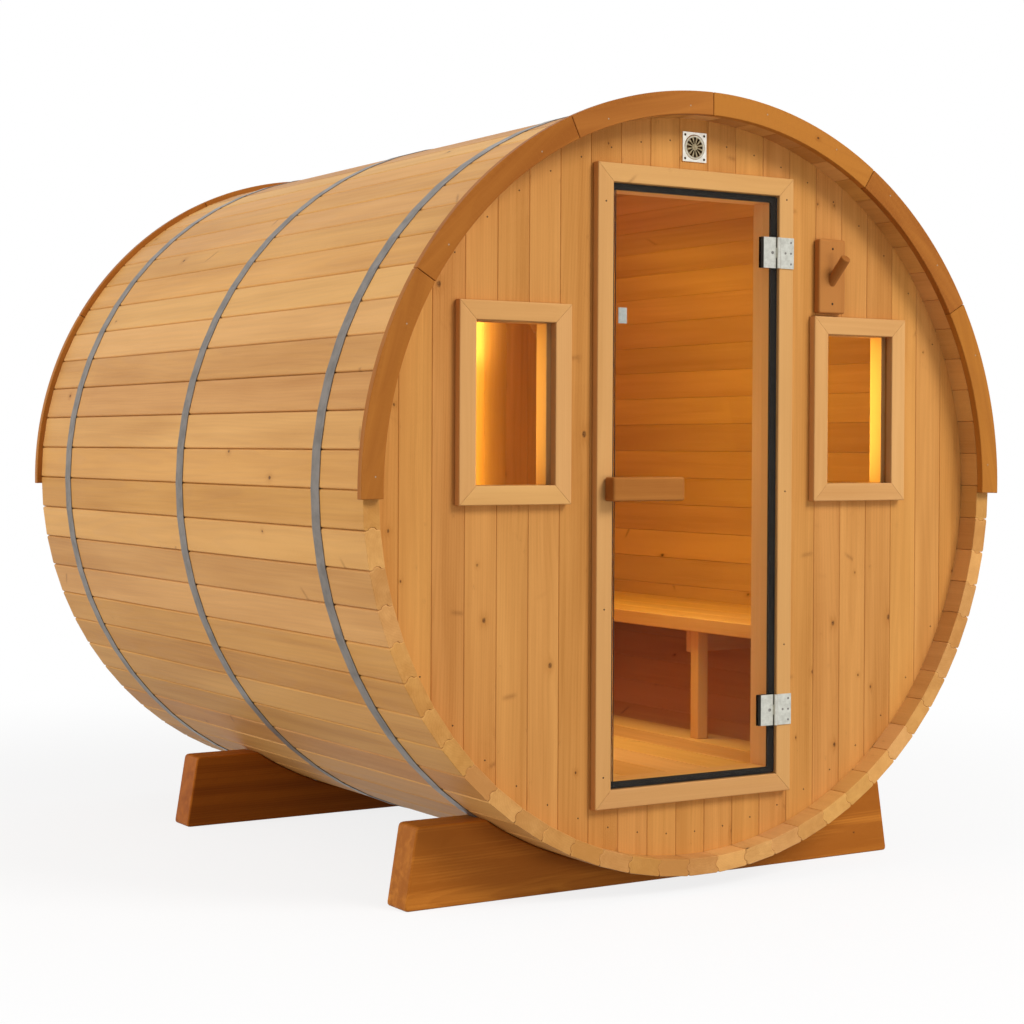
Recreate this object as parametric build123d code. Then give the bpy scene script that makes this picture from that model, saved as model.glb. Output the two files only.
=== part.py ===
# Barrel sauna: bead-and-cove staves in steel hoops, on two timber cradles, with a glass door.
# Millimetres. X runs to the right of someone facing the door, Y from front to back, Z up.
# The origin is on the ground, under the middle of the barrel.
from build123d import *
import math
import os

# Barrel of staves
barrel_length = 2010.0
barrel_radius = 915.0
stave_count = 66
stave_thickness = 40.0
stave_gap = 0.3
bead_radius = 11.0
bead_rise = 6.5
bead_facets = 3
outer_bevel = 3.5

# Steel hoops round the staves, placed along the barrel from its front end
hoop_width = 40.0
hoop_thickness = 2.0
hoop_front_share = 0.111
hoop_middle_share = 0.490
hoop_rear_share = 0.888

# Cradle timbers under the barrel
cradle_height = 190.0
cradle_thickness = 89.0
cradle_foot_width = 1440.0
cradle_top_width = 1376.0
cradle_web = 38.5
cradle_bevel = 6.0
front_cradle_inset = 161.0
rear_cradle_inset = 531.0
hoop_relief_side = 3.0

# Trim boards round the upper half of each end
trim_thickness = 20.0
trim_overhang = 14.5
trim_drop = 20.0
trim_joint_angles = (30.0, 57.5, 90.0, 115.5, 149.0)

# End walls, let into a groove round the staves
wall_thickness = 38.0
wall_recess = 57.0
croze_depth = 8.0

# Door casing, and the frame of boards that lines the opening
casing_half_width = 289.0
casing_margin = 73.0
casing_width = 44.0
casing_thickness = 22.0
door_rise = 4.0
jamb_thickness = 20.0
lining_projection = 24.0
seal_width = 16.0
seal_clearance = 5.0

# Glass door leaf
glass_gap = 5.0
glass_setback = 3.0
glass_thickness = 8.0

# Door hinges
hinge_height = 75.0
hinge_from_top = 139.0
hinge_from_bottom = 157.0
knuckle_radius = 5.0
knuckle_clearance = 1.5
pin_radius = 2.5
pin_play = 0.3
leaf_width = 41.0
leaf_thickness = 3.0
clamp_width = 38.0
clamp_back_width = 28.0
clamp_thickness = 3.0
pad_thickness = 1.0
pad_margin = 6.0

# Door handle blocks and the catch plate
handle_length = 203.0
handle_height = 56.0
handle_reach = 43.0
handle_lap = 29.0
handle_clearance = 8.0
handle_round = 7.0
handle_bevel = 5.0
handle_drop = 6.0
inner_handle_length = 150.0
catch_width = 24.0
catch_height = 37.0
catch_thickness = 1.5
catch_rise = 397.0

# Windows beside the door
window_gap = 70.0
window_margin = 95.0
window_height = 457.0
pane_thickness = 5.0
pane_setback = 14.0
pane_rebate = 10.0
liner_thickness = 12.0

# Air vent over the door
vent_size = 70.0
vent_margin = 31.0
vent_plate_thickness = 3.0
grille_radius = 29.0
grille_thickness = 4.0
grille_rim = 3.5
grille_hub = 8.0
grille_slots = 12
grille_slot_angle = 9.0
duct_radius = 26.0

# Hook beside the door, over the window
hook_gap = 83.0
hook_margin = 112.0
hook_window_gap = 8.0
hook_width = 84.0
hook_height = 183.0
hook_thickness = 22.0
hook_round = 5.0
hook_bevel = 3.0
peg_radius = 12.5
peg_reach = 50.0
peg_slope = 45.0
peg_seat = 9.0
peg_drop = 8.0
peg_bevel = 3.0

# Floor boards on curved joists
threshold_step = 6.0
floor_thickness = 28.0
floor_board_count = 8
floor_board_gap = 3.0
floor_end_gap = 3.0
joist_thickness = 38.0
joist_place_shares = (0.14, 0.5, 0.86)

# Bench along the right-hand staves
bench_height = 330.0
bench_front = 370.0
bench_thickness = 38.0
bench_board_count = 4
bench_board_gap = 4.0
bench_end_gap = 5.0
leg_size = 34.0
leg_setback = 30.0
leg_inset = 464.0
bearer_height = 60.0
bearer_thickness = 20.0

# Play of a piece in its seat, the hairline at a butt or mitre, and the overrun of a cut
seat_play = 0.3
joint_gap = 0.3
overrun = 50.0

# Levels and radii that follow from the sizes above
stave_half_angle = math.pi / stave_count
inner_radius = barrel_radius - stave_thickness
half_face = barrel_radius * math.tan(stave_half_angle)
stave_reach = math.hypot(barrel_radius, half_face - outer_bevel)
hoop_inset = barrel_radius + seat_play / 2
hoop_reach = (hoop_inset + hoop_thickness) / math.cos(stave_half_angle)
hoop_shares = {"front": hoop_front_share, "middle": hoop_middle_share, "rear": hoop_rear_share}
seat_radius = stave_reach + seat_play
axis_height = cradle_web + seat_radius
front_end = -barrel_length / 2
rear_end = barrel_length / 2
wall_front = front_end + wall_recess
wall_back = wall_front + wall_thickness
rear_wall_front = rear_end - wall_recess - wall_thickness
wall_radius = inner_radius + croze_depth - seat_play
lining_back = wall_back + lining_projection

# Door levels: the casing's corners keep a margin to the staves
casing_half_height = math.sqrt((inner_radius - casing_margin) ** 2 - casing_half_width ** 2)
door_level = axis_height + door_rise
opening_half_width = casing_half_width - casing_width
opening_half_height = casing_half_height - casing_width
clear_half_width = opening_half_width - seal_width
clear_half_height = opening_half_height - seal_width
rough_half_width = clear_half_width + jamb_thickness + seat_play
rough_half_height = clear_half_height + jamb_thickness + seat_play
casing_front = wall_front - casing_thickness
glass_front = casing_front + glass_setback
glass_back = glass_front + glass_thickness
glass_half_width = opening_half_width - glass_gap
glass_half_height = opening_half_height - glass_gap
pivot_x = glass_half_width
pivot_y = glass_front - knuckle_radius - knuckle_clearance
hinge_levels = (
    door_level + opening_half_height - hinge_from_top,
    door_level - opening_half_height + hinge_from_bottom,
)

# Hook and window places: their outer top corners keep a margin to the staves
hook_x = casing_half_width + hook_gap + hook_width / 2
hook_top = math.sqrt((inner_radius - hook_margin) ** 2 - (hook_x + hook_width / 2) ** 2)
window_top = hook_top - hook_height - hook_window_gap
window_near = casing_half_width + window_gap
window_far = math.sqrt((inner_radius - window_margin) ** 2 - window_top ** 2)
window_width = window_far - window_near
window_x = (window_near + window_far) / 2
window_level = axis_height + window_top - window_height / 2
sight_width = window_width - 2 * casing_width
sight_height = window_height - 2 * casing_width
hole_half_width = sight_width / 2 + liner_thickness + seat_play
hole_half_height = sight_height / 2 + liner_thickness + seat_play

# Floor and bench levels
floor_top = door_level - clear_half_height - threshold_step
floor_bottom = floor_top - floor_thickness
seat_top = floor_top + bench_height
seat_bottom = seat_top - bench_thickness


def box_between(x0, x1, y0, y1, z0, z1):
    """A block between two values on each axis."""
    middle = Pos((x0 + x1) / 2, (y0 + y1) / 2, (z0 + z1) / 2)
    return middle * Box(x1 - x0, y1 - y0, z1 - z0)


def along_barrel(profile, y0, y1):
    """An upright profile, drawn in X and Z, carried along the barrel from y0 to y1."""
    return extrude(Pos(0, y0, 0) * (Plane.XZ * profile), amount=y1 - y0, dir=(0, 1, 0))


def outline(points):
    """A flat face inside straight lines through the points."""
    return make_face(Polyline(*points, close=True))


def disc(radius, y0, y1):
    """A round plate across the barrel."""
    return along_barrel(Pos(0, axis_height) * Circle(radius), y0, y1)


def half_span(radius, level):
    """Half the width of a circle round the barrel's axis, at a level."""
    return math.sqrt(radius ** 2 - (level - axis_height) ** 2)


def mitred_frame(x, level, inner_width, inner_height, rail, y0, y1):
    """Four mitred boards round a rectangle, with a hairline at each mitre."""
    a = inner_width / 2
    b = inner_height / 2
    boards = []
    for side in (-1, 1):
        stile = [
            (side * a, -b),
            (side * a, b),
            (side * (a + rail), b + rail),
            (side * (a + rail), -b - rail),
        ]
        head = [
            (joint_gap - a, side * b),
            (a - joint_gap, side * b),
            (a + rail - joint_gap, side * (b + rail)),
            (joint_gap - a - rail, side * (b + rail)),
        ]
        boards += [along_barrel(Pos(x, level) * outline(points), y0, y1) for points in (stile, head)]
    return boards


def stave_section():
    """A stave's end: bevelled sides, a bead on the clockwise edge and a cove on the other."""
    sine = math.sin(stave_half_angle)
    cosine = math.cos(stave_half_angle)
    slack = stave_gap / 2
    offset = bead_radius - bead_rise
    middle = (inner_radius + barrel_radius) / (2 * cosine)

    def edge(side, along, out):
        return (side * (along * sine + out * cosine), along * cosine - out * sine)

    def round_side(side, radius, centre):
        """Points on a bead, or on a cove with its centre outside the stave."""
        sense = math.copysign(1, -centre)
        reach = math.acos(-sense * (centre + slack) / radius)
        turns = [reach * (2 * index / bead_facets - 1) for index in range(bead_facets + 1)]
        return [
            edge(side, middle + radius * math.sin(turn), centre + sense * radius * math.cos(turn))
            for turn in turns
        ]

    high = (barrel_radius - outer_bevel) / cosine
    face_in = inner_radius * math.tan(stave_half_angle) - slack
    face_out = half_face - slack - outer_bevel
    bead = round_side(1, bead_radius - slack, -offset)
    cove = round_side(-1, bead_radius + slack, offset)
    right = [(face_in, inner_radius)] + bead
    right += [edge(1, high, -slack), (face_out, barrel_radius)]
    left = [(-face_in, inner_radius)] + cove
    left += [edge(-1, high, -slack), (-face_out, barrel_radius)]
    return outline(right + left[::-1])


def stave():
    """One stave at the top of the barrel, grooved across for both end walls."""
    board = along_barrel(Pos(0, axis_height) * stave_section(), front_end, rear_end)
    groove_bottom = axis_height + inner_radius + croze_depth
    for wall_face in (wall_front, rear_wall_front):
        board -= box_between(
            -half_face - overrun,
            half_face + overrun,
            wall_face - seat_play,
            wall_face + wall_thickness + seat_play,
            axis_height,
            groove_bottom,
        )
    return board


def stave_groups():
    """The whole barrel in six groups of staves, starting with the one at the bottom."""
    names = ("bottom", "lower_right", "upper_right", "top", "upper_left", "lower_left")
    groups = {"staves_" + name: [] for name in names}
    pattern = stave()
    barrel_axis = Axis((0, 0, axis_height), (0, 1, 0))
    step = 360.0 / stave_count
    first = 180.0 + step * (stave_count // len(names) // 2)
    for index in range(stave_count):
        group = "staves_" + names[index * len(names) // stave_count]
        groups[group].append(pattern.rotate(barrel_axis, first - index * step))
    return groups


def hoop(share):
    """A flat steel band, drawn tight so that it lies on each stave and bends at the joints."""
    middle = front_end + share * barrel_length
    turn = 90.0 - math.degrees(stave_half_angle)
    inside = RegularPolygon(hoop_inset, stave_count, major_radius=False, rotation=turn)
    outside = RegularPolygon(hoop_inset + hoop_thickness, stave_count, major_radius=False, rotation=turn)
    band = Pos(0, axis_height) * (outside - inside)
    return along_barrel(band, middle - hoop_width / 2, middle + hoop_width / 2)


def cradle(y0):
    """A timber with tapered ends, hollowed to the barrel and relieved where a hoop crosses it."""
    y1 = y0 + cradle_thickness
    side = outline([
        (-cradle_foot_width / 2, 0),
        (cradle_foot_width / 2, 0),
        (cradle_top_width / 2, cradle_height),
        (-cradle_top_width / 2, cradle_height),
    ])
    timber = along_barrel(side, y0, y1)
    ends = timber.faces().sort_by(Axis.X)
    timber = chamfer(ends[0].edges() + ends[-1].edges(), cradle_bevel)
    timber -= disc(seat_radius, y0 - overrun, y1 + overrun)
    for share in hoop_shares.values():
        middle = front_end + share * barrel_length
        half = hoop_width / 2 + hoop_relief_side
        if middle + half > y0 and middle - half < y1:
            timber -= disc(hoop_reach + seat_play, middle - half, middle + half)
    return timber


def end_trim(y0):
    """Curved boards on the stave ends, over the upper half, butted with a hairline."""
    y1 = y0 + trim_thickness
    outer = barrel_radius + trim_overhang
    drop_angle = math.degrees(math.asin(trim_drop / outer))
    stops = (-drop_angle,) + trim_joint_angles + (180.0 + drop_angle,)
    hairline = math.degrees(joint_gap / inner_radius)
    boards = []
    for start, stop in zip(stops[:-1], stops[1:]):
        a = math.radians(start + hairline / 2)
        b = math.radians(stop - hairline / 2)
        mid = (a + b) / 2

        def at(radius, angle):
            return (radius * math.cos(angle), radius * math.sin(angle))

        border = [
            ThreePointArc(at(outer, a), at(outer, mid), at(outer, b)),
            Line(at(outer, b), at(inner_radius, b)),
            ThreePointArc(at(inner_radius, b), at(inner_radius, mid), at(inner_radius, a)),
            Line(at(inner_radius, a), at(outer, a)),
        ]
        boards.append(along_barrel(Pos(0, axis_height) * make_face(border), y0, y1))
    return boards


def wall_slab(x0, x1, z0, z1):
    """The piece of the front wall between two widths and two levels."""
    return disc(wall_radius, wall_front, wall_back) & box_between(x0, x1, wall_front, wall_back, z0, z1)


def front_wall_side(side):
    """The wall beside the door: strips on both sides of a window, and boards over and under it."""
    inside = rough_half_width
    near = window_x - hole_half_width
    far = window_x + hole_half_width
    low = axis_height - barrel_radius
    high = axis_height + barrel_radius
    spans = [
        (inside, near - joint_gap, low, high),
        (near, far, low, window_level - hole_half_height),
        (near, far, window_level + hole_half_height, high),
        (far + joint_gap, barrel_radius, low, high),
    ]
    return [wall_slab(*sorted((side * x0, side * x1)), z0, z1) for x0, x1, z0, z1 in spans]


def front_wall_over_door():
    """The wall over the door, bored for the vent."""
    edge = rough_half_width - joint_gap
    slab = wall_slab(-edge, edge, door_level + rough_half_height, axis_height + barrel_radius)
    duct = Pos(0, wall_front, vent_level()) * Rot(90, 0, 0) * Cylinder(duct_radius, 2 * wall_thickness + overrun)
    return slab - duct


def front_wall_under_door():
    """The wall under the door's sill."""
    edge = rough_half_width - joint_gap
    return wall_slab(-edge, edge, axis_height - barrel_radius, door_level - rough_half_height)


def vent_level():
    """Height of the vent's middle, a margin below the staves."""
    return axis_height + inner_radius - vent_margin - vent_size / 2


def door_casing():
    """Mitred boards on the wall round the door."""
    return mitred_frame(
        0, door_level, 2 * opening_half_width, 2 * opening_half_height, casing_width, casing_front, wall_front
    )


def door_jamb():
    """Boards that line the opening through the wall."""
    return mitred_frame(
        0, door_level, 2 * clear_half_width, 2 * clear_half_height, jamb_thickness, wall_front, lining_back
    )


def door_seal():
    """A rubber strip round the front of the jamb, behind the glass."""
    outside = Rectangle(2 * (clear_half_width + seal_width), 2 * (clear_half_height + seal_width))
    ring = outside - Rectangle(2 * clear_half_width, 2 * clear_half_height)
    return along_barrel(Pos(0, door_level) * ring, glass_back + seal_clearance, wall_front)


def door_glass():
    """The clear leaf, a gap inside the casing."""
    leaf = Rectangle(2 * glass_half_width, 2 * glass_half_height)
    return along_barrel(Pos(0, door_level) * leaf, glass_front, glass_back)


def pivot_rod(radius, z0, z1):
    """A round piece on the hinge axis."""
    return Pos(pivot_x, pivot_y, (z0 + z1) / 2) * Cylinder(radius, z1 - z0)


def hinge_leaf(level):
    """The fixed half: a plate on the casing, two knuckles and the pin."""
    low = level - hinge_height / 2
    high = level + hinge_height / 2
    third = hinge_height / 3
    inner_edge = pivot_x + knuckle_radius + knuckle_clearance
    outer_edge = inner_edge + leaf_width
    plate_front = casing_front - leaf_thickness
    leaf = box_between(inner_edge, outer_edge, plate_front, casing_front, low, high)
    leaf += pivot_rod(pin_radius, low, high)
    for z0, z1 in ((low, low + third), (high - third, high)):
        leaf += box_between(pivot_x, inner_edge, plate_front, casing_front, z0, z1)
        leaf += pivot_rod(knuckle_radius, z0, z1)
    return leaf


def hinge_clamp(level):
    """The moving half: a front plate with the middle knuckle, and a plate behind the glass."""
    low = level - hinge_height / 2
    high = level + hinge_height / 2
    third = hinge_height / 3
    left = pivot_x - knuckle_radius - knuckle_clearance - clamp_width
    plate_back = glass_front - pad_thickness
    plate_front = plate_back - clamp_thickness
    plate_edge = left + clamp_width
    front = box_between(left, plate_edge, plate_front, plate_back, low, high)
    z0 = low + third + pin_play
    z1 = high - third - pin_play
    front += box_between(plate_edge, pivot_x, plate_front, pivot_y + knuckle_radius, z0, z1)
    front += pivot_rod(knuckle_radius, z0, z1)
    front -= pivot_rod(pin_radius + pin_play, low, high)
    back_face = glass_back + pad_thickness
    back = box_between(left, left + clamp_back_width, back_face, back_face + clamp_thickness, low, high)
    return [front, back]


def hinge_pads(level):
    """Rubber between the clamp plates and the glass."""
    low = level - hinge_height / 2
    high = level + hinge_height / 2
    plate_left = pivot_x - knuckle_radius - knuckle_clearance - clamp_width
    left = plate_left - pad_margin
    front = box_between(left, plate_left + clamp_width, glass_front - pad_thickness, glass_front, low, high)
    back = box_between(left, plate_left + clamp_back_width, glass_back, glass_back + pad_thickness, low, high)
    return [front, back]


def softened_block(x0, x1, y0, y1, z0, z1, radius, bevel, face):
    """A block with rounded corners, and a bevel round its front or back face."""
    block = box_between(x0, x1, y0, y1, z0, z1)
    block = fillet(block.edges().filter_by(Axis.Y), radius)
    return chamfer(block.faces().sort_by(Axis.Y)[face].edges(), bevel)


def outer_handle():
    """The pull outside, cut back where its end laps over the casing."""
    left = -glass_half_width - handle_lap
    middle = door_level - handle_drop
    low = middle - handle_height / 2
    high = middle + handle_height / 2
    front = glass_front - handle_reach
    right = left + handle_length
    pull = softened_block(left, right, front, glass_front, low, high, handle_round, handle_bevel, 0)
    pull -= box_between(
        left - overrun,
        -glass_half_width,
        glass_front - handle_clearance,
        glass_front + overrun,
        low - overrun,
        high + overrun,
    )
    return pull


def inner_handle():
    """The pull inside, short of the jamb so that it swings out through the opening."""
    right = -glass_half_width - handle_lap + handle_length
    middle = door_level - handle_drop
    low = middle - handle_height / 2
    high = middle + handle_height / 2
    left = right - inner_handle_length
    back = glass_back + handle_reach
    return softened_block(left, right, glass_back, back, low, high, handle_round, handle_bevel, -1)


def catch_plate():
    """A thin keeper plate inside the glass, near its free edge."""
    left = -clear_half_width + glass_gap
    low = door_level + catch_rise - catch_height / 2
    return box_between(
        left, left + catch_width, glass_back, glass_back + catch_thickness, low, low + catch_height
    )


def window(side):
    """Trim, liner and fixed pane of one window."""
    x = side * window_x
    pane_front = wall_front + pane_setback
    pane_back = pane_front + pane_thickness
    trim = mitred_frame(x, window_level, sight_width, sight_height, casing_width, casing_front, wall_front)
    liner = mitred_frame(
        x, window_level, sight_width, sight_height, liner_thickness, pane_back, lining_back
    )
    sheet = Rectangle(sight_width + 2 * pane_rebate, sight_height + 2 * pane_rebate)
    pane = along_barrel(Pos(x, window_level) * sheet, pane_front, pane_back)
    return trim, liner, pane


def vent_plate():
    """A square plate with a round opening for the grille."""
    plate = Rectangle(vent_size, vent_size) - Circle(grille_radius)
    return along_barrel(Pos(0, vent_level()) * plate, wall_front - vent_plate_thickness, wall_front)


def vent_grille():
    """A round grille with a ring of tapered slots."""
    outer = grille_radius - grille_rim
    slope = math.tan(math.radians(grille_slot_angle))
    slot = outline([
        (grille_hub, -grille_hub * slope),
        (outer, -outer * slope),
        (outer, outer * slope),
        (grille_hub, grille_hub * slope),
    ])
    face = Circle(grille_radius - seat_play)
    for index in range(grille_slots):
        face -= Rot(0, 0, index * 360.0 / grille_slots) * slot
    return along_barrel(Pos(0, vent_level()) * face, wall_front - grille_thickness, wall_front)


def hook():
    """A backing block with a dowel that slopes up and out of it."""
    half_width = hook_width / 2
    high = axis_height + hook_top
    low = high - hook_height
    face = wall_front - hook_thickness
    near = hook_x - half_width
    far = hook_x + half_width
    block = softened_block(near, far, face, wall_front, low, high, hook_round, hook_bevel, 0)
    slope = math.radians(peg_slope)
    length = (peg_seat + peg_reach) / math.cos(slope)
    mouth = (low + high) / 2 - peg_drop
    root = Pos(hook_x, face + peg_seat, mouth - peg_seat * math.tan(slope))
    lean = root * Rot(90.0 - peg_slope, 0, 0)
    upward = (Align.CENTER, Align.CENTER, Align.MIN)
    peg = Cylinder(peg_radius, length, align=upward)
    peg = chamfer(peg.edges().sort_by(Axis.Z)[-1], peg_bevel)
    block -= lean * Cylinder(peg_radius + seat_play / 2, length, align=upward)
    return block, lean * peg


def floor_boards():
    """Boards along the barrel, between the door's sill and the back wall."""
    half = half_span(inner_radius, floor_bottom) - seat_play
    pitch = (2 * half + floor_board_gap) / floor_board_count
    y0 = lining_back + floor_end_gap
    y1 = rear_wall_front - floor_end_gap
    boards = []
    for index in range(floor_board_count):
        x0 = -half + index * pitch
        boards.append(box_between(x0, x0 + pitch - floor_board_gap, y0, y1, floor_bottom, floor_top))
    return boards


def floor_joists():
    """Cross timbers under the floor, cut to the round of the staves."""
    joists = []
    for share in joist_place_shares:
        middle = lining_back + share * (rear_wall_front - lining_back)
        y0 = middle - joist_thickness / 2
        y1 = middle + joist_thickness / 2
        below = box_between(-barrel_radius, barrel_radius, y0, y1, axis_height - barrel_radius, floor_bottom)
        joists.append(disc(inner_radius - seat_play, y0, y1) & below)
    return joists


def bench_seat():
    """Seat boards along the right-hand staves, from the window liners to the back wall."""
    back = half_span(inner_radius, seat_bottom) - seat_play
    pitch = (back - bench_front + bench_board_gap) / bench_board_count
    y0 = lining_back + bench_end_gap
    y1 = rear_wall_front - bench_end_gap
    boards = []
    for index in range(bench_board_count):
        x0 = bench_front + index * pitch
        boards.append(box_between(x0, x0 + pitch - bench_board_gap, y0, y1, seat_bottom, seat_top))
    return boards


def leg_places():
    """Front faces of the two bench legs, the same distance from each end wall."""
    return (wall_back + leg_inset, rear_wall_front - leg_inset - leg_size)


def bench_legs():
    """Square posts under the seat's front board."""
    x0 = bench_front + leg_setback
    return [box_between(x0, x0 + leg_size, y0, y0 + leg_size, floor_top, seat_bottom) for y0 in leg_places()]


def bench_bearers():
    """Cross pieces beside the legs that carry the seat back to the staves."""
    back = half_span(inner_radius, seat_bottom - bearer_height) - seat_play
    bearers = []
    for place in leg_places():
        y0 = place + leg_size
        y1 = y0 + bearer_thickness
        bearers.append(
            box_between(bench_front + leg_setback, back, y0, y1, seat_bottom - bearer_height, seat_bottom)
        )
    return bearers


def all_pieces():
    """Every node's name with its solids."""
    pieces = stave_groups()
    for name, share in hoop_shares.items():
        pieces["hoop_" + name] = [hoop(share)]
    pieces["cradle_front"] = [cradle(front_end + front_cradle_inset)]
    pieces["cradle_rear"] = [cradle(rear_end - rear_cradle_inset - cradle_thickness)]
    pieces["end_trim_front"] = end_trim(front_end - trim_thickness)
    pieces["end_trim_rear"] = end_trim(rear_end)
    pieces["front_wall_left"] = front_wall_side(-1)
    pieces["front_wall_right"] = front_wall_side(1)
    pieces["front_wall_over_door"] = [front_wall_over_door()]
    pieces["front_wall_under_door"] = [front_wall_under_door()]
    pieces["rear_wall"] = [disc(wall_radius, rear_wall_front, rear_wall_front + wall_thickness)]
    pieces["door_casing"] = door_casing()
    pieces["door_jamb"] = door_jamb()
    pieces["door_seal"] = [door_seal()]
    pieces["door_glass"] = [door_glass()]
    pieces["hinge_leaves"] = [hinge_leaf(level) for level in hinge_levels]
    pieces["hinge_clamps"] = [solid for level in hinge_levels for solid in hinge_clamp(level)]
    pieces["hinge_pads"] = [solid for level in hinge_levels for solid in hinge_pads(level)]
    pieces["door_handle_outside"] = [outer_handle()]
    pieces["door_handle_inside"] = [inner_handle()]
    pieces["catch_plate"] = [catch_plate()]
    for name, side in (("left", -1), ("right", 1)):
        trim, liner, pane = window(side)
        pieces["window_trim_" + name] = trim
        pieces["window_liner_" + name] = liner
        pieces["window_glass_" + name] = [pane]
    pieces["vent_plate"] = [vent_plate()]
    pieces["vent_grille"] = [vent_grille()]
    block, peg = hook()
    pieces["hook_block"] = [block]
    pieces["hook_peg"] = [peg]
    pieces["floor_boards"] = floor_boards()
    pieces["floor_joists"] = floor_joists()
    pieces["bench_seat"] = bench_seat()
    pieces["bench_legs"] = bench_legs()
    pieces["bench_bearers"] = bench_bearers()
    return pieces


os.makedirs("parts", exist_ok=True)
for node, solids in all_pieces().items():
    export_step(Compound(children=list(solids)), "parts/" + node + ".step")
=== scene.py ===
"""Barrel sauna in Blender: staves, walls, trims, fittings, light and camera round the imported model."""
import math

import bmesh
import bpy
import numpy as np
from mathutils import Matrix, Vector


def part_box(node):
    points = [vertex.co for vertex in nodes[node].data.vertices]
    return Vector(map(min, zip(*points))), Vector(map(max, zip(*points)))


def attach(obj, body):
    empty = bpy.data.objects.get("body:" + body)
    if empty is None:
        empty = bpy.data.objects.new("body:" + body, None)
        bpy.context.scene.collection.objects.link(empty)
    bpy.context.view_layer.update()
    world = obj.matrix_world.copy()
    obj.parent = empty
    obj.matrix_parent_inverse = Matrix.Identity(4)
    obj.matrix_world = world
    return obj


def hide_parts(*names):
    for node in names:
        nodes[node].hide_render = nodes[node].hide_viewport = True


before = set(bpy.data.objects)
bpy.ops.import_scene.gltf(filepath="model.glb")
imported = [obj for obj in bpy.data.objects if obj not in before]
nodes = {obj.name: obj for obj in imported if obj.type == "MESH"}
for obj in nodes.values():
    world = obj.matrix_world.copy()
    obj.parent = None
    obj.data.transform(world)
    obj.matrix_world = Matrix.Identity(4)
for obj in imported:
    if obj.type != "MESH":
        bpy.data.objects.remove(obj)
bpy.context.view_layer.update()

# Barrel, in metres
STAVE_COUNT = 66
BARREL_RADIUS = 0.915
INNER_RADIUS = 0.875
FRONT_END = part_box("staves_top")[0].y
REAR_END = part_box("staves_top")[1].y
AXIS_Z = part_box("staves_top")[1].z - BARREL_RADIUS
STAVE_GAP = 0.0006
BEAD_RADIUS = 0.011
BEAD_RISE = 0.0065
BEAD_POINTS = 11
OUTER_ARRIS = 0.0055
JOINT_DEPTH = 0.009
INNER_ARRIS = 0.0018
END_ARRIS = 0.0016
END_SHARE = 0.94
STAVE_SLIP = 0.0008

# Wall boards and the duct bored through the middle one
BOARD_PITCH = 0.084
BOARD_BEVEL = 0.0013
BOARD_GAP = 0.0002
BOARD_COLUMNS = 9
WALL_REACH = 0.8756
WALL_CLEAR = 0.0012
DUCT_RADIUS = 0.026
DUCT_BLOCK = 1.3 * DUCT_RADIUS
DUCT_STEPS = 16

# Trims, rails and rounded edges
ROUND_STEPS = 3
FIRST_INSIDE = ROUND_STEPS + 1
SHARP_ANGLE = math.radians(40.0)
TRIM_JOINTS = (30.0, 57.5, 90.0, 115.5, 149.0)
TRIM_HAIRLINE = 0.0006
TRIM_SOFT = 0.0022
TRIM_STEPS = 24
PLANK_SOFT = 0.0025
RAIL = 0.044
RAIL_SOFT = 0.003
JAMB = 0.020
JAMB_SOFT = 0.0012
JAMB_FRONT = 0.026
LINER = 0.012
LINER_SOFT = 0.001
MITRE_GAP = 0.0004

# Floor and bench
FLOOR_PLANKS = 8
FLOOR_GAP = 0.003
BENCH_PLANKS = 4
BENCH_GAP = 0.004
BENCH_SOFT = 0.004
POST_DEPTH = 0.034
BEARER_DEPTH = 0.020

# Cradles, pulls and hook
CRADLE_TOP = 1.376
CRADLE_SEAT = 0.9163
SEAT_POINTS = 41
HOOP_SEAT = 0.9187
HOOP_PLAY = 0.0006
CRADLE_SOFT = 0.005
CRADLE_CORNER = 0.011
PULL_SOFT = 0.006
PULL_LAP = 0.008
HOOK_SOFT = 0.005
PEG_RADIUS = 0.0125
PEG_SEAT = 0.009
PEG_REACH = 0.050
PEG_DROP = 0.008
PEG_SOFT = 0.003

# Hinges, catch and vent
PLATE = 0.003
PAD = 0.001
HINGE_HALF = 0.0375
CATCH_SOFT = 0.0006
BEHIND_GLASS = 0.0005
# Place and radii of the dark disc behind the grille, which is painted shade for the duct
DUCT_SHADE_SETBACK = 0.002
DUCT_SHADE_PLACES = (0.0, 0.0002, 0.0008, 0.001)
DUCT_SHADE_RADII = (0.0254, 0.0257, 0.0257, 0.0254)
RIM_RADIUS = 0.0265
RIM_HALF_WIDTH = 0.0034
RIM_RISE = 0.0022
VENT_COLUMNS = 48

# Screws: radius and rise of each head, and its place on the plate
LEAF_SCREW = (0.0028, 0.0010)
CLAMP_SCREW = (0.0040, 0.0012)
HOOK_SCREW = (0.0030, 0.0010)
VENT_SCREW = (0.0030, 0.0012)
SCREW_SINK = 0.0004
LEAF_EDGE = 0.009
LEAF_INNER = 0.026
LEAF_RISE = 0.026
CLAMP_EDGE = 0.027
HOOK_RISE = 0.068
VENT_INSET = 0.007

# Nails: radius of each head, and how they are spread
TRIM_NAIL = 0.0019
TRIM_NAIL_STOPS = (-4.0,) + TRIM_JOINTS + (184.0,)
TRIM_NAIL_SHARES = (0.22, 0.76)
TRIM_NAIL_PLAY = 0.08
TRIM_NAIL_ASIDE = 0.012
CASING_NAIL = 0.0022
CASING_NAIL_PLACES = ((-1, 0.88), (-1, -0.38), (-1, -0.9), (1, -0.02), (1, -0.52), (1, 0.93))
WALL_NAIL = 0.0020
WALL_NAIL_BOARDS = 9
WALL_NAIL_ASIDE = 0.014
WALL_NAIL_FROM_RIM = 0.052

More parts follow.
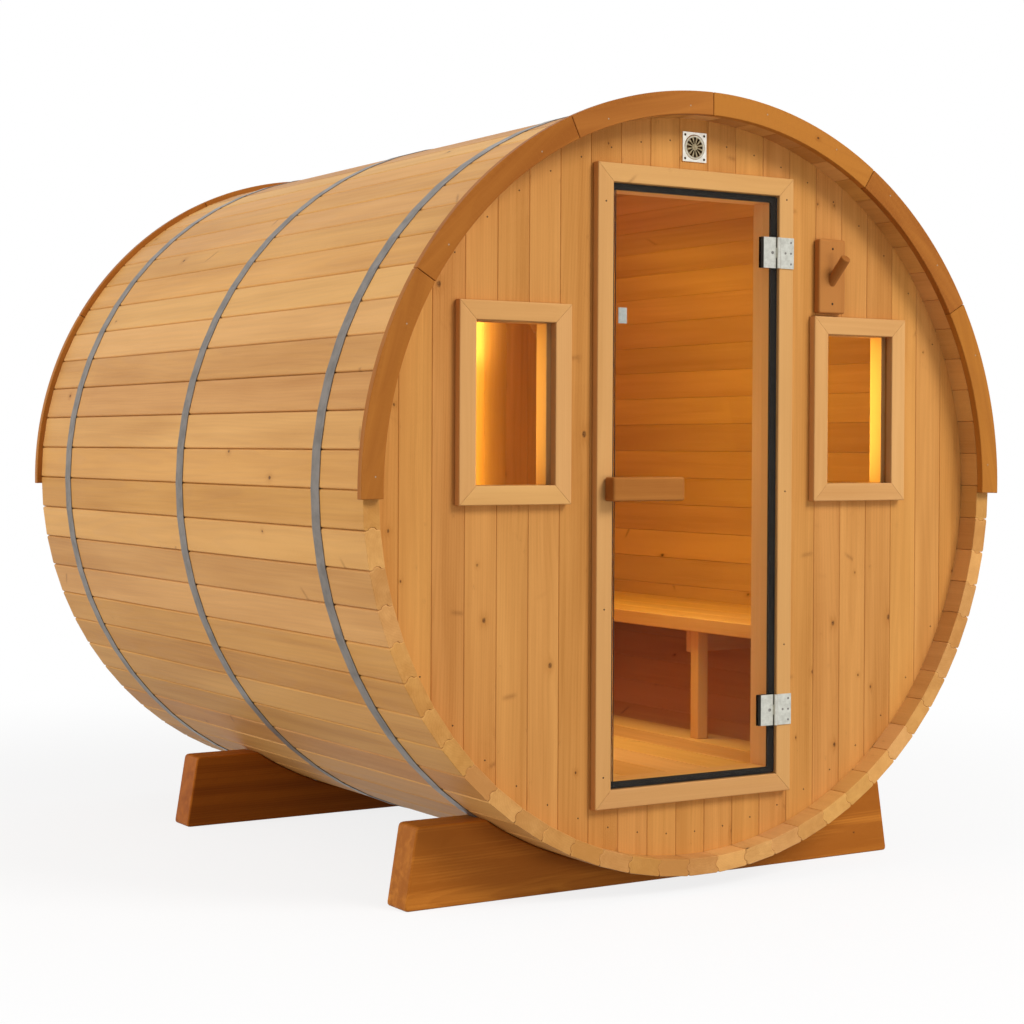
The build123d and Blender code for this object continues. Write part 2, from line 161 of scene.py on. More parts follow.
# Board axes as width, length and depth, and the way out of the front
UPRIGHT = ((1, 0, 0), (0, 0, 1), (0, 1, 0))
LEVEL = ((0, 0, 1), (1, 0, 0), (0, 1, 0))
FORWARD = (0, -1, 0)

# Softwood: the cell of one knot, and pattern scales across, along and into a board
KNOT_CELL = (0.062, 0.29, 1.0)
KNOT_COLOUR = (0.085, 0.026, 0.007, 1.0)
SMEAR_COLOUR = (0.22, 0.075, 0.018, 1.0)
BOARD_SHIFT = (31.0, 47.0, 23.0)
GROWTH_RINGS = 170.0
PITH_WANDER = (5.0, 1.1, 5.0)
STREAKS = (85.0, 1.9, 85.0)
BROAD_STREAKS = (30.0, 1.4, 30.0)
FIBRES = (620.0, 9.0, 620.0)
CLOUDS = (6.0, 1.3, 6.0)
JOIST_SEED = 7.0

# Camera of the photograph
CAMERA_PLACE = (-3.0066, -4.9516, 1.0505)
CAMERA_TURN = (-32.31, -0.72, 0.28)
CAMERA_LENS = 73.614
CAMERA_SENSOR = 36.0
CAMERA_SHIFT = (-0.01145, -0.03843)

# Studio: the world's light, the floor's own colours and the share of plain white in it near the object
WHITE = (1.0, 1.0, 1.0)
WORLD_LIGHT = 0.49
FLOOR_HALF = 40.0
FLOOR_BOUNCE = (0.34, 0.315, 0.27, 1.0)
FLOOR_PALE = (0.92, 0.92, 0.92, 1.0)
FLOOR_PLAIN = 0.82
FLOOR_FADE = (1.4, 3.6)

random = np.random.default_rng(20)


def unit(vector):
    """The vector divided by its length."""
    vector = np.asarray(vector, float)
    return vector / np.linalg.norm(vector)


def new_object(name, data):
    """An object at the origin, linked to the scene."""
    made = bpy.data.objects.new(name, data)
    bpy.context.scene.collection.objects.link(made)
    return made


class Timber:
    """The boards or fittings of one piece: their points, faces, grain places, seeds and end-grain marks."""

    def __init__(self):
        self.points = []
        self.faces = []
        self.grain = []
        self.seed = []
        self.end = []
        self.count = 0

    def add(self, rings, axes, seed, origin, loop=False, end_grain=1.0):
        """Rings of points joined to a skin: quads between each ring and the next, flat caps on the ends.

        Grain places are the points measured from the origin along the board's width, length and depth.
        """
        rings = np.asarray(rings, float)
        rows, columns = rings.shape[:2]
        points = rings.reshape(-1, 3)
        row = np.arange(rows if loop else rows - 1)[:, None]
        column = np.arange(columns)[None, :]
        after = (column + 1) % columns
        below = (row + 1) % rows
        quads = np.stack([
            row * columns + column, row * columns + after,
            below * columns + after, below * columns + column,
        ], axis=-1).reshape(-1, 4) + self.count
        self.faces += quads.tolist()
        self.end += [0.0] * len(quads)
        if not loop:
            first = np.arange(columns)[::-1] + self.count
            last = np.arange(columns) + (rows - 1) * columns + self.count
            self.faces += [first.tolist(), last.tolist()]
            self.end += [end_grain, end_grain]
        basis = np.stack([unit(axis) for axis in axes], axis=1)
        self.grain.append((points - np.asarray(origin, float)) @ basis)
        self.seed.append(np.full(len(points), float(seed)))
        self.points.append(points)
        self.count += len(points)

    def make(self, name, material, slot, *replaced, body="cabin"):
        """One object of all that was added, faces outwards, smooth but for sharp edges, riding on a body."""
        mesh = bpy.data.meshes.new(name)
        mesh.from_pydata(np.concatenate(self.points).tolist(), [], self.faces)
        values = (
            ("grain", "FLOAT_VECTOR", "POINT", "vector", np.concatenate(self.grain).ravel()),
            ("seed", "FLOAT", "POINT", "value", np.concatenate(self.seed)),
            ("end", "FLOAT", "FACE", "value", np.array(self.end)),
        )
        for label, kind, domain, key, numbers in values:
            layer = mesh.attributes.new(label, kind, domain)
            layer.data.foreach_set(key, numbers.astype(np.float32))
        shell = bmesh.new()
        shell.from_mesh(mesh)
        bmesh.ops.recalc_face_normals(shell, faces=shell.faces)
        shell.to_mesh(mesh)
        shell.free()
        mesh.polygons.foreach_set("use_smooth", np.ones(len(mesh.polygons), bool))
        mesh.set_sharp_from_angle(angle=SHARP_ANGLE)
        mesh.materials.append(material)
        piece = new_object(name, mesh)
        piece.modifiers.new("even_normals", "WEIGHTED_NORMAL").keep_sharp = True
        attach(piece, body)
        if replaced:
            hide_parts(*replaced)


def rounded_sections(half_u, half_w, radius, insets):
    """Rectangles with quarter circles at their corners, one for each inset, drawn in by that much."""
    quarter = np.linspace(0.0, math.pi / 2, ROUND_STEPS + 1)
    angles = np.concatenate([quarter + corner * math.pi / 2 for corner in range(4)])
    directions = np.stack([np.cos(angles), np.sin(angles)], axis=1)
    signs = np.repeat([(1, 1), (-1, 1), (-1, -1), (1, -1)], ROUND_STEPS + 1, axis=0)
    centres = signs * np.array([half_u - radius, half_w - radius])
    return centres[None] + directions[None] * (radius - np.asarray(insets))[:, None, None]


def end_stations(length, radius):
    """Places along a board and how far its outline is drawn in there: a quarter circle at each end."""
    turn = np.linspace(0.0, math.pi / 2, ROUND_STEPS + 1)
    inset = radius * (1 - np.sin(turn))
    place = radius * (1 - np.cos(turn))
    places = np.concatenate([place, length - place[::-1]])
    return places, np.concatenate([inset, inset[::-1]])


def plank(timber, low, high, along, seed, soft=PLANK_SOFT):
    """A board with rounded edges: a rounded rectangle carried along the grain, drawn in at both ends."""
    low, high = np.array(low, float), np.array(high, float)
    others = [axis for axis in range(3) if axis != along]
    others.sort(key=lambda axis: low[axis] - high[axis])
    middle = (low + high) / 2
    half = (high - low) / 2
    places, insets = end_stations(high[along] - low[along], soft)
    flat = rounded_sections(half[others[0]], half[others[1]], soft, insets)
    rings = np.zeros((*flat.shape[:2], 3))
    rings[..., others[0]] = middle[others[0]] + flat[..., 0]
    rings[..., others[1]] = middle[others[1]] + flat[..., 1]
    rings[..., along] = low[along] + places[:, None]
    timber.add(rings, np.eye(3)[[others[0], along, others[1]]], seed, middle)
    return timber


def plank_row(node, count, gap, seed, soft=PLANK_SOFT):
    """Planks along the barrel, side by side across a node's box with a gap between."""
    low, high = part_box(node)
    edges = np.linspace(low.x, high.x + gap, count + 1)
    timber = Timber()
    for index in range(count):
        start = (edges[index], low.y, low.z)
        stop = (edges[index + 1] - gap, high.y, high.z)
        plank(timber, start, stop, 1, seed + index, soft)
    return timber


def mitred_frame(timber, box, rail, seed, soft=RAIL_SOFT, front=None, back=None):
    """Four rails inside a box: a rounded rectangle carried along each inner edge, its ends sheared to mitres.

    The rails are as deep as the box where no front or back is given.
    """
    y0 = box[0].y if front is None else front
    y1 = box[1].y if back is None else back
    flat = rounded_sections(rail / 2, (y1 - y0) / 2, soft, [0.0])[0]
    across = flat[:, 0] + rail / 2
    depth = (y0 + y1) / 2 + flat[:, 1]
    left, right = box[0].x + rail, box[1].x - rail
    low, high = box[0].z + rail, box[1].z - rail
    sides = (
        ((left, low), (left, high), (-1, 0)),
        ((right, low), (right, high), (1, 0)),
        ((left, low), (right, low), (0, -1)),
        ((left, high), (right, high), (0, 1)),
    )
    for index, side in enumerate(sides):
        start, stop, outward = (np.array(value, float) for value in side)
        along = unit(stop - start)
        length = np.linalg.norm(stop - start)
        rings = []
        for place in (-across + MITRE_GAP, length + across - MITRE_GAP):
            plan = start + place[:, None] * along + across[:, None] * outward
            rings.append(np.stack([plan[:, 0], depth, plan[:, 1]], axis=1))
        axes = ((outward[0], 0, outward[1]), (along[0], 0, along[1]), (0, 1, 0))
        middle = (start + stop) / 2 + outward * rail / 2
        timber.add(rings, axes, seed + index, (middle[0], (y0 + y1) / 2, middle[1]))
    return timber


def bend(first, corner, last, steps):
    """Points of a curve that leaves the first point towards a corner and arrives at the last."""
    share = np.linspace(0.0, 1.0, steps + 1)[:, None]
    first, corner, last = (np.asarray(point, float) for point in (first, corner, last))
    return (1 - share) ** 2 * first + 2 * share * (1 - share) * corner + share ** 2 * last


def stave_outline():
    """A stave's end: flat faces with rounded arrises, bevelled sides, a bead arc and the matching cove."""
    turn = math.pi / STAVE_COUNT
    sine, cosine = math.sin(turn), math.cos(turn)
    slack = STAVE_GAP / 2
    offset = BEAD_RADIUS - BEAD_RISE
    middle = (INNER_RADIUS + BARREL_RADIUS) / (2 * cosine)

    def edge(side, along, out):
        return np.stack([side * (along * sine + out * cosine), along * cosine - out * sine], axis=-1)

    def round_side(side, radius, centre):
        sense = math.copysign(1, -centre)
        reach = math.acos(-sense * (centre + slack) / radius)
        turns = np.linspace(-reach, reach, BEAD_POINTS)
        return edge(side, middle + radius * np.sin(turns), centre + sense * radius * np.cos(turns))

    def half(side, radius, centre):
        low = INNER_RADIUS / cosine
        high = BARREL_RADIUS / cosine
        inner_corner = edge(side, low, -slack)
        outer_corner = edge(side, high, -slack)
        inner = bend(inner_corner - (side * INNER_ARRIS, 0), inner_corner,
                     edge(side, low + INNER_ARRIS, -slack), 3)
        outer = bend(edge(side, high - JOINT_DEPTH, -slack), outer_corner,
                     outer_corner - (side * OUTER_ARRIS, 0), 4)
        return np.concatenate([inner, round_side(side, radius, centre), outer])

    right = half(1, BEAD_RADIUS - slack, -offset)
    left = half(-1, BEAD_RADIUS + slack, offset)
    return np.concatenate([right, left[::-1]])


def stave_groups():
    """The barrel's staves in six pieces: one outline carried along the barrel and turned about its axis."""
    names = ("bottom", "lower_right", "upper_right", "top", "upper_left", "lower_left")
    outline = stave_outline()
    centre = outline.mean(axis=0)
    step = 2 * math.pi / STAVE_COUNT
    first = math.pi + step * (STAVE_COUNT // len(names) // 2)
    groups = {name: Timber() for name in names}
    for index in range(STAVE_COUNT):
        turn = first - index * step
        across = np.array([math.cos(turn), 0.0, -math.sin(turn)])
        out = np.array([math.sin(turn), 0.0, math.cos(turn)])
        slip = random.uniform(0.0, STAVE_SLIP, 2)
        front, rear = FRONT_END + slip[0], REAR_END - slip[1]
        stations = (front, END_SHARE), (front + END_ARRIS, 1.0), (rear - END_ARRIS, 1.0), (rear, END_SHARE)
        rings = []
        for place, share in stations:
            flat = centre + (outline - centre) * share
            rings.append(flat[:, :1] * across + flat[:, 1:] * out + (0.0, place, AXIS_Z))
        middle = np.array([0.0, 0.0, AXIS_Z]) + out * centre[1]
        group = groups[names[index * len(names) // STAVE_COUNT]]
        group.add(rings, (across, (0, 1, 0), out), 100 + index, middle)
    return groups


def free_spans(x0, x1, holes):
    """Upright spans of wall left in a strip between the holes that cut it; None is the barrel's curve."""
    middle = (x0 + x1) / 2
    spans = [(None, None)]
    for left, right, low, high in sorted(holes, key=lambda hole: hole[2]):
        if left < middle < right:
            start, _ = spans.pop()
            spans += [(start, low), (high, None)]
    return spans


def wall_strip(timber, x0, x1, y0, y1, span, bevels, seed):
    """A wall board's strip: its section, bevelled on board edges, carried from a lower to an upper curve."""
    left_bevel, right_bevel = (BOARD_BEVEL if flag else 0.0 for flag in bevels)
    left_gap, right_gap = (BOARD_GAP if flag else 0.0 for flag in bevels)
    columns = np.linspace(x0 + left_bevel + left_gap, x1 - right_bevel - right_gap, BOARD_COLUMNS)
    front = [(x, y0) for x in columns]
    back = [(x, y1) for x in columns[::-1]]
    right = [(x1 - right_gap, y0 + right_bevel), (x1 - right_gap, y1 - right_bevel)] if bevels[1] else []
    left = [(x0 + left_gap, y1 - left_bevel), (x0 + left_gap, y0 + left_bevel)] if bevels[0] else []
    section = np.array(front + right + back + left)
    reach = np.sqrt(np.maximum(WALL_REACH ** 2 - section[:, 0] ** 2, 0.0))
    rings = []
    for level, sign in ((span[0], -1), (span[1], 1)):
        heights = AXIS_Z + sign * reach if level is None else np.full(len(section), level)
        rings.append(np.stack([section[:, 0], section[:, 1], heights], axis=1))
    board = round((x0 + x1) / 2 / BOARD_PITCH)
    timber.add(rings, UPRIGHT, seed, (board * BOARD_PITCH, y0, AXIS_Z))


def wall_boards(box, holes, seed, bored=None):
    """Upright boards across the barrel, split where an opening cuts them; bored is the level of the duct."""
    timber = Timber()
    y0, y1 = box[0].y, box[1].y
    reach = WALL_REACH - WALL_CLEAR
    count = int(reach / BOARD_PITCH + 0.5)
    for board in range(-count, count + 1):
        start = max(board * BOARD_PITCH - BOARD_PITCH / 2, -reach)
        stop = min(board * BOARD_PITCH + BOARD_PITCH / 2, reach)
        cuts = sorted({x for hole in holes for x in hole[:2] if start < x < stop})
        edges = [start] + cuts + [stop]
        for x0, x1 in zip(edges[:-1], edges[1:]):
            spans = free_spans(x0, x1, holes)
            if bored and board == 0:
                low, _ = spans.pop()
                spans += [(low, bored - DUCT_BLOCK), (bored + DUCT_BLOCK, None)]
            for span in spans:
                wall_strip(timber, x0, x1, y0, y1, span, (x0 == start, x1 == stop), seed + board)
    if bored:
        bored_block(timber, y0, y1, bored, seed)
    return timber


def bored_block(timber, y0, y1, level, seed):
    """The middle board round the duct: rings from a circle to a rectangle and back, front to rear."""
    share = np.linspace(-1.0, 1.0, DUCT_STEPS + 1)[:-1]
    one = np.ones(DUCT_STEPS)
    square = np.concatenate([
        np.stack([one, share], 1), np.stack([-share, one], 1),
        np.stack([-one, -share], 1), np.stack([share, -one], 1),
    ])
    circle = square / np.linalg.norm(square, axis=1, keepdims=True) * DUCT_RADIUS
    wide = square * (BOARD_PITCH / 2 - BOARD_GAP, DUCT_BLOCK)
    narrow = square * (BOARD_PITCH / 2 - BOARD_GAP - BOARD_BEVEL, DUCT_BLOCK)
    rings = []
    for plan, depth in (
        (circle, y0), (narrow, y0), (wide, y0 + BOARD_BEVEL),
        (wide, y1 - BOARD_BEVEL), (narrow, y1), (circle, y1),
    ):
        rings.append(np.stack([plan[:, 0], np.full(len(plan), depth), plan[:, 1] + level], axis=1))
    timber.add(rings, UPRIGHT, seed, (0, y0, AXIS_Z), loop=True)


def trim_boards(node, seed):
    """Curved boards over a barrel end: a rounded rectangle carried along an arc, with hairlines between."""
    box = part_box(node)
    outer = box[1].z - AXIS_Z
    middle_radius = (outer + INNER_RADIUS) / 2
    drop = math.asin((AXIS_Z - box[0].z) / outer)
    stops = [-drop] + [math.radians(angle) for angle in TRIM_JOINTS] + [math.pi + drop]
    half_width, half_depth = (outer - INNER_RADIUS) / 2, (box[1].y - box[0].y) / 2
    hairline = TRIM_HAIRLINE / outer
    timber = Timber()
    for index, (start, stop) in enumerate(zip(stops[:-1], stops[1:])):
        places, insets = end_stations((stop - start - 2 * hairline) * outer, TRIM_SOFT)
        between = np.linspace(places[FIRST_INSIDE - 1], places[FIRST_INSIDE], TRIM_STEPS + 2)[1:-1]
        places = np.insert(places, FIRST_INSIDE, between)
        insets = np.insert(insets, FIRST_INSIDE, np.zeros(TRIM_STEPS))
        angles = start + hairline + places / outer
        flat = rounded_sections(half_width, half_depth, TRIM_SOFT, insets)
        radius = middle_radius + flat[..., 0]
        rings = np.stack([
            radius * np.cos(angles)[:, None],
            (box[0].y + box[1].y) / 2 + flat[..., 1],
            AXIS_Z + radius * np.sin(angles)[:, None],
        ], axis=-1)
        middle = (start + stop) / 2
        out = np.array([math.cos(middle), 0, math.sin(middle)])
        along = (-math.sin(middle), 0, math.cos(middle))
        timber.add(rings, (out, along, (0, 1, 0)), seed + index, out * middle_radius + (0, 0, AXIS_Z))
    return timber


def cradle_timber(node, seed, hoop=None):
    """A cradle: a trapezium hollowed by an arc, carried along the barrel, drawn in at both faces.

    Where a hoop crosses it, the arc's radius steps out to a groove.
    """
    low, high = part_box(node)
    places, insets = end_stations(high.y - low.y, CRADLE_SOFT)
    radii = np.full(len(places), CRADLE_SEAT)
    if hoop:
        first = hoop[0].y - HOOP_PLAY - low.y
        last = hoop[1].y + HOOP_PLAY - low.y
        groove = (first - TRIM_HAIRLINE, first, last, last + TRIM_HAIRLINE)
        places = np.insert(places, FIRST_INSIDE, groove)
        insets = np.insert(insets, FIRST_INSIDE, np.zeros(len(groove)))
        radii = np.insert(radii, FIRST_INSIDE, (CRADLE_SEAT, HOOP_SEAT, HOOP_SEAT, CRADLE_SEAT))
    foot = np.array([high.x, low.z])
    shoulder = np.array([CRADLE_TOP / 2, high.z])
    lean = unit(shoulder - foot) * CRADLE_CORNER
    level = np.array([CRADLE_CORNER, 0.0])
    right = np.concatenate([
        bend(foot - level, foot, foot + lean, 3), bend(shoulder - lean, shoulder, shoulder - level, 3),
    ])
    left = (right * (-1, 1))[::-1]
    reach = np.arccos((AXIS_Z - high.z) / radii)
    spread = np.linspace(1.0, -1.0, SEAT_POINTS) * reach[:, None]
    seats = np.stack([np.sin(spread), -np.cos(spread)], axis=-1) * radii[:, None, None] + (0.0, AXIS_Z)
    rows = len(places)
    outlines = np.concatenate([np.tile(right, (rows, 1, 1)), seats, np.tile(left, (rows, 1, 1))], axis=1)
    chord = np.roll(outlines, -1, axis=1) - np.roll(outlines, 1, axis=1)
    outward = np.stack([chord[..., 1], -chord[..., 0]], axis=-1)
    outward = outward / np.linalg.norm(chord, axis=-1, keepdims=True)
    flat = outlines - outward * insets[:, None, None]
    depth = np.broadcast_to((low.y + places)[:, None], flat.shape[:2])
    rings = np.stack([flat[..., 0], depth, flat[..., 1]], axis=-1)
    timber = Timber()
    timber.add(rings, LEVEL, seed, (0, low.y, 0), end_grain=0.0)
    return timber


def pull_block(box, seed, lap=None):
    """A door pull: a rounded rectangle carried level, drawn in at its ends, cut away behind up to the lap."""
    low, high = (np.array(corner) for corner in box)
    middle = (low + high) / 2
    half = (high - low) / 2
    places, insets = end_stations(high[0] - low[0], PULL_SOFT)
    if lap:
        step = lap[0] - low[0]
        places = np.insert(places, FIRST_INSIDE, (step - TRIM_HAIRLINE, step))
        insets = np.insert(insets, FIRST_INSIDE, (0.0, 0.0))
    flat = rounded_sections(half[1], half[2], PULL_SOFT, insets)
    depth = middle[1] + flat[..., 0]
    if lap:
        lapped = slice(0, FIRST_INSIDE + 1)
        depth[lapped] = np.minimum(depth[lapped], lap[1])
    level = np.broadcast_to((low[0] + places)[:, None], depth.shape)
    rings = np.stack([level, depth, middle[2] + flat[..., 1]], axis=-1)
    timber = Timber()
    timber.add(rings, LEVEL, seed, middle)
    return timber


def turned(timber, start, along, places, radii, seed, columns=28, shape=None, loop=False):
    """A round piece: circles of given radii at places on an axis, each scaled by a shape round the axis."""
    along = unit(along)
    across = unit(np.cross(along, (0.31, 0.22, 0.92)))
    other = np.cross(along, across)
    turn = np.linspace(0, 2 * math.pi, columns, endpoint=False)
    circle = np.cos(turn)[:, None] * across + np.sin(turn)[:, None] * other
    rings = []
    for row, (place, radius) in enumerate(zip(places, radii)):
        reach = radius if shape is None else radius * shape[row]
        reach = np.broadcast_to(reach, columns)[:, None]
        rings.append(np.asarray(start, float) + along * place + circle * reach)
    timber.add(rings, (across, along, other), seed, start, loop)
    return timber


def nail_heads(name, places, radius, material, outward=FORWARD):
    """Low domes sunk a little into the wood: a few circles up a quarter of an ellipse."""
    timber = Timber()
    rise = np.linspace(0.0, 1.4, 4)
    heights = np.concatenate([[-0.35], 0.3 * np.sin(rise)]) * radius
    radii = np.concatenate([[1.0], np.cos(rise)]) * radius
    for index, place in enumerate(places):
        turned(timber, place, outward, heights, radii, index, 12)
    timber.make(name, material, "hoop_steel")


def screw_heads(name, places, size, material, slot, body="cabin"):
    """Low domed heads with a cross recess: circles up a dome, then a four-lobed outline sunk into its top."""
    timber = Timber()
    radius, rise = size
    columns = 32
    turn = np.linspace(0, 2 * math.pi, columns, endpoint=False)
    cross = 0.34 + 0.66 * np.abs(np.cos(2 * turn)) ** 6
    heights = np.array([0.0, 0.25, 0.7, 0.95, 1.0, 1.0, 0.55, 0.5]) * rise
    heights[0] = -SCREW_SINK
    radii = np.array([1.0, 1.0, 0.86, 0.66, 0.58, 0.56, 0.48, 0.02]) * radius
    shape = [np.ones(columns)] * 5 + [cross] * 3
    for index, place in enumerate(places):
        turned(timber, place, FORWARD, heights, radii, index, columns, shape)
    timber.make(name, material, slot, body=body)


class Graph:
    """Short calls for adding and joining shader nodes in one tree."""

    def __init__(self, tree):
        self.tree = tree

    def add(self, kind, inputs=None, **settings):
        made = self.tree.nodes.new("ShaderNode" + kind)
        for key, value in settings.items():
            setattr(made, key, value)
        for key, value in (inputs or {}).items():
            self.set(made.inputs[key], value)
        return made

    def set(self, socket, value):
        if isinstance(value, bpy.types.NodeSocket):
            self.tree.links.new(value, socket)
        else:
            socket.default_value = value

    def math(self, operation, *values, clamp=False):
        return self.add("Math", dict(enumerate(values)), operation=operation, use_clamp=clamp).outputs[0]

    def times(self, first, second):
        return self.math("MULTIPLY", first, second)

    def less(self, first, second):
        return self.math("SUBTRACT", first, second)

    def fit(self, value, scale, shift):
        return self.math("MULTIPLY_ADD", value, scale, shift)

    def sway(self, value, share, shift):
        return self.fit(self.less(value, 0.5), share, shift)

    def vector(self, operation, *values):
        made = self.add("VectorMath", dict(enumerate(values)), operation=operation)
        return made.outputs["Value" if operation == "LENGTH" else "Vector"]

    def scaled(self, vector, factors):
        return self.vector("MULTIPLY", vector, factors)

    def parts(self, vector):
        return self.add("SeparateXYZ", {0: vector}).outputs

    def join(self, x, y, z):
        return self.add("CombineXYZ", {0: x, 1: y, 2: z}).outputs[0]

    def noise(self, place, scale, detail=2.0, rough=0.5, output="Fac"):
        settings = {"Vector": self.scaled(place, scale), "Scale": 1.0, "Detail": detail, "Roughness": rough}
        return self.add("TexNoise", settings).outputs[output]

    def chance(self, seed):
        return self.add("TexWhiteNoise", {"W": seed}, noise_dimensions="1D").outputs["Color"]

    def step(self, value, low, high):
        settings = {"Value": value, "From Min": low, "From Max": high}
        return self.add("MapRange", settings, interpolation_type="SMOOTHSTEP").outputs["Result"]

    def mix(self, share, first, second):
        return self.add("Mix", {"Factor": share, 6: first, 7: second}, data_type="RGBA").outputs[2]

    def bump(self, shader, height, strength, distance):
        relief = self.add("Bump", {"Strength": strength, "Distance": distance, "Height": height})
        self.set(shader.inputs["Normal"], relief.outputs["Normal"])


def new_group(name, inputs):
    """An empty shader group with named inputs, and a colour, a roughness and a height to put out."""
    tree = bpy.data.node_groups.new(name, "ShaderNodeTree")
    outputs = {"Color": "Color", "Roughness": "Float", "Height": "Float"}
    for way, sockets in (("INPUT", inputs), ("OUTPUT", outputs)):
        for label, kind in sockets.items():
            tree.interface.new_socket(label, in_out=way, socket_type="NodeSocket" + kind)
    ins = tree.nodes.new("NodeGroupInput").outputs
    outs = tree.nodes.new("NodeGroupOutput").inputs
    return tree, Graph(tree), ins, outs


def softwood_group():
    """Softwood as a solid pattern: rings round a pith line beside the board, streaks, fibres and knots."""
    tree, g, ins, outs = new_group("softwood", {
        "Grain": "Vector", "Seed": "Float", "End": "Float", "Pale": "Color", "Deep": "Color",
        "Knots": "Float", "Contrast": "Float", "Variation": "Float",
    })
    chance = g.chance(ins["Seed"])
    r1, r2, r3 = g.parts(chance)
    r4, r5, r6 = g.parts(g.chance(g.math("ADD", ins["Seed"], 31.7)))
    u, v, w = g.parts(ins["Grain"])
    place = g.vector("ADD", ins["Grain"], g.scaled(chance, BOARD_SHIFT))

    # Knots: scattered points on the board's face, some kept as round knots and some as slanting smears
    cell = g.scaled(g.vector("DIVIDE", place, KNOT_CELL), (1.0, 1.0, 0.0))
    voronoi = g.add("TexVoronoi", {"Vector": cell, "Scale": 1.0}, voronoi_dimensions="2D")
    away = g.scaled(g.vector("SUBTRACT", cell, voronoi.outputs["Position"]), KNOT_CELL)
    away_u, away_v, _ = g.parts(away)
    far = g.vector("LENGTH", g.join(away_u, g.times(away_v, 0.72), 0.0))
    pick, size, _ = g.parts(voronoi.outputs["Color"])
    face = g.less(1.0, ins["End"])
    kept = g.times(face, g.math("LESS_THAN", pick, ins["Knots"]))
    radius = g.fit(g.times(size, size), 0.0042, 0.0024)
    near = g.math("DIVIDE", far, radius)
    knot = g.times(kept, g.less(1.0, g.step(near, 0.5, 1.15)))
    halo = g.times(kept, g.math("EXPONENT", g.times(g.times(near, near), -0.16)))
    slant = g.times(g.less(size, 0.5), 2.2)
    aside = g.math("DIVIDE", g.fit(away_u, g.times(slant, -1.0), away_v), 0.0055)
    smear = g.math("EXPONENT", g.times(g.times(aside, aside), -1.0))
    smear = g.times(smear, g.less(1.0, g.step(g.math("ABSOLUTE", away_u), 0.006, 0.026)))
    smeared = g.math("GREATER_THAN", pick, g.fit(ins["Knots"], -0.6, 1.0))
    smear = g.times(smear, g.times(face, smeared))

    # Growth rings: distance from a pith line that wanders along the board and lifts over knots
    wander = g.noise(place, PITH_WANDER, output="Color")
    wander_u, wander_w, _ = g.parts(g.vector("SUBTRACT", wander, (0.5, 0.5, 0.5)))
    pith_u = g.sway(r4, 0.12, g.times(wander_u, 0.03))
    lean = g.times(v, g.times(g.less(r6, 0.5), 0.035))
    pith_w = g.math("ADD", g.fit(r5, 0.09, 0.012), g.fit(wander_w, 0.035, lean))
    ring_far = g.vector("LENGTH", g.join(g.math("ADD", u, pith_u), g.math("ADD", w, pith_w), 0.0))
    ring_far = g.fit(halo, 0.005, ring_far)
    streak = g.noise(place, STREAKS, 3.0, 0.6)
    broad = g.noise(place, BROAD_STREAKS)
    fibre = g.noise(place, FIBRES)
    cloud = g.noise(place, CLOUDS)
    phase = g.math("FRACT", g.fit(ring_far, GROWTH_RINGS, g.times(streak, 0.6)))
    late = g.times(g.step(phase, 0.2, 0.9), g.less(1.0, g.step(phase, 0.9, 1.0)))

    # Colour: pale to deep along rings, streaks and clouds, tinted board by board, knots on top
    shade = g.fit(late, 0.14, g.times(g.less(streak, 0.5), 0.6))
    shade = g.sway(fibre, 0.22, g.sway(broad, 1.2, shade))
    shade = g.sway(cloud, 1.0, g.times(shade, ins["Contrast"]))
    tone = g.times(g.less(r2, 0.5), g.times(ins["Variation"], 0.85))
    shade = g.math("ADD", shade, g.fit(ins["End"], 0.22, tone))
    shade = g.math("ADD", shade, g.fit(halo, 0.55, 0.40), clamp=True)
    colour = g.mix(shade, ins["Pale"], ins["Deep"])
    warm = g.join(1.0, g.fit(r3, 0.06, 0.965), g.fit(r1, 0.26, 0.86))
    colour = g.mix(ins["Variation"], colour, g.scaled(colour, warm))
    colour = g.mix(g.times(smear, 0.5), colour, SMEAR_COLOUR)
    g.set(outs["Color"], g.mix(g.times(knot, 0.95), colour, KNOT_COLOUR))
    g.set(outs["Roughness"], g.fit(fibre, 0.16, g.fit(late, -0.06, 0.46)))
    height = g.fit(late, 0.3, g.times(fibre, 0.5))
    g.set(outs["Height"], g.fit(knot, 0.4, height))
    return tree


def worn_metal_group():
    """Metal wear: fine lines along one direction, soft blotches and a few scuffs."""
    tree, g, ins, outs = new_group("worn_metal", {
        "Place": "Vector", "Lines": "Vector", "Blotch": "Float", "Bright": "Color", "Dull": "Color",
    })
    lines = g.noise(ins["Place"], ins["Lines"])
    size = g.join(ins["Blotch"], ins["Blotch"], ins["Blotch"])
    blotch = g.noise(ins["Place"], size, 4.0, 0.65)
    scuff = g.step(blotch, 0.3, 0.72)
    shade = g.math("ADD", g.times(g.less(lines, 0.5), 0.7), scuff, clamp=True)
    g.set(outs["Color"], g.mix(shade, ins["Bright"], ins["Dull"]))
    g.set(outs["Roughness"], g.fit(blotch, 0.28, g.fit(lines, 0.1, 0.16)))
    g.set(outs["Height"], g.fit(lines, 0.6, g.times(blotch, 0.4)))
    return tree


SOFTWOOD = softwood_group()
WORN_METAL = worn_metal_group()


def new_material(name):
    """An empty node material with its shader."""
    material = bpy.data.materials.new(name)
    material.use_nodes = True
    graph = Graph(material.node_tree)
    shader = next(item for item in material.node_tree.nodes if item.type == "BSDF_PRINCIPLED")
    return material, graph, shader


def join_surface(g, shader, group, strength, distance):
    """The group's colour, roughness and height joined to the shader."""
    g.set(shader.inputs["Base Color"], group.outputs["Color"])
    g.set(shader.inputs["Roughness"], group.outputs["Roughness"])
    g.bump(shader, group.outputs["Height"], strength, distance)


